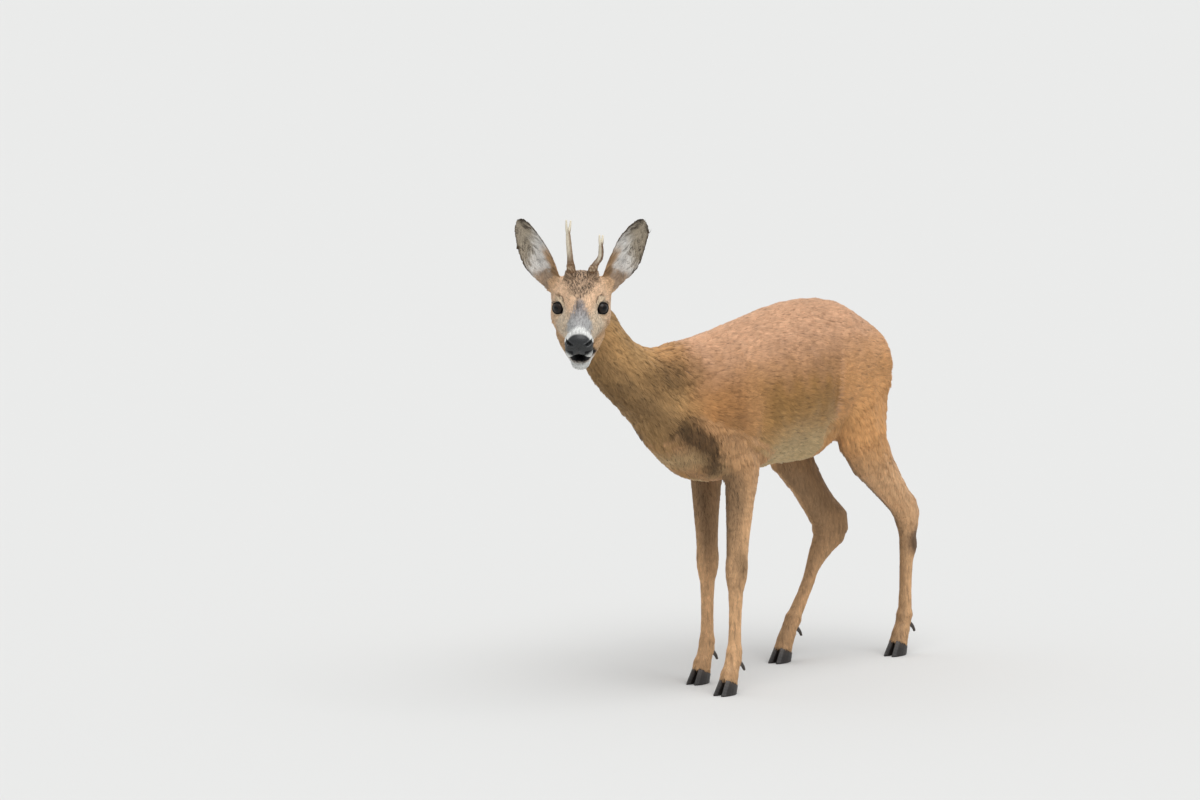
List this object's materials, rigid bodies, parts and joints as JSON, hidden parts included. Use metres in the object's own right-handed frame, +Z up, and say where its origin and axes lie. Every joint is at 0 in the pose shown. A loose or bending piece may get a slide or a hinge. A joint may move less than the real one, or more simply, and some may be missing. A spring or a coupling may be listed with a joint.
{
  "type": "roe deer",
  "caption": "Still, life-size model of a young roe buck in summer coat, standing on four hooves with its head turned to its left.",
  "frame": {"origin": "on the floor, under the middle of the whole animal's box", "axes": "+Z up, the trunk faces -Y, +X is the deer's left side"},
  "size_m": [0.243, 1.0902, 0.892],
  "materials": {
    "coat": "short red-brown hair lying flat, greyer on neck and face, with white lips and chin",
    "nose": "bare, finely grained, moist black skin",
    "eye": "wet, very dark brown",
    "antler": "grooved brown bone with polished pale tips",
    "hoof": "dark horn with faint growth rings"
  },
  "bodies": {
    "root": {"head": "coat", "left_antler_beam": "antler", "left_antler_front_tine": "antler", "left_antler_rear_tine": "antler", "left_ear": "coat", "left_eye": "eye", "left_fore_left_claw": "hoof", "left_fore_left_dewclaw": "hoof", "left_fore_right_claw": "hoof", "left_fore_right_dewclaw": "hoof", "left_foreleg": "coat", "left_hind_left_claw": "hoof", "left_hind_left_dewclaw": "hoof", "left_hind_leg": "coat", "left_hind_right_claw": "hoof", "left_hind_right_dewclaw": "hoof", "lower_jaw": "coat", "neck": "coat", "nose": "nose", "right_antler_beam": "antler", "right_antler_front_tine": "antler", "right_antler_rear_tine": "antler", "right_ear": "coat", "right_eye": "eye", "right_fore_left_claw": "hoof", "right_fore_left_dewclaw": "hoof", "right_fore_right_claw": "hoof", "right_fore_right_dewclaw": "hoof", "right_foreleg": "coat", "right_hind_left_claw": "hoof", "right_hind_left_dewclaw": "hoof", "right_hind_leg": "coat", "right_hind_right_claw": "hoof", "right_hind_right_dewclaw": "hoof", "tail": "coat", "trunk": "coat"}
  },
  "joints": []
}
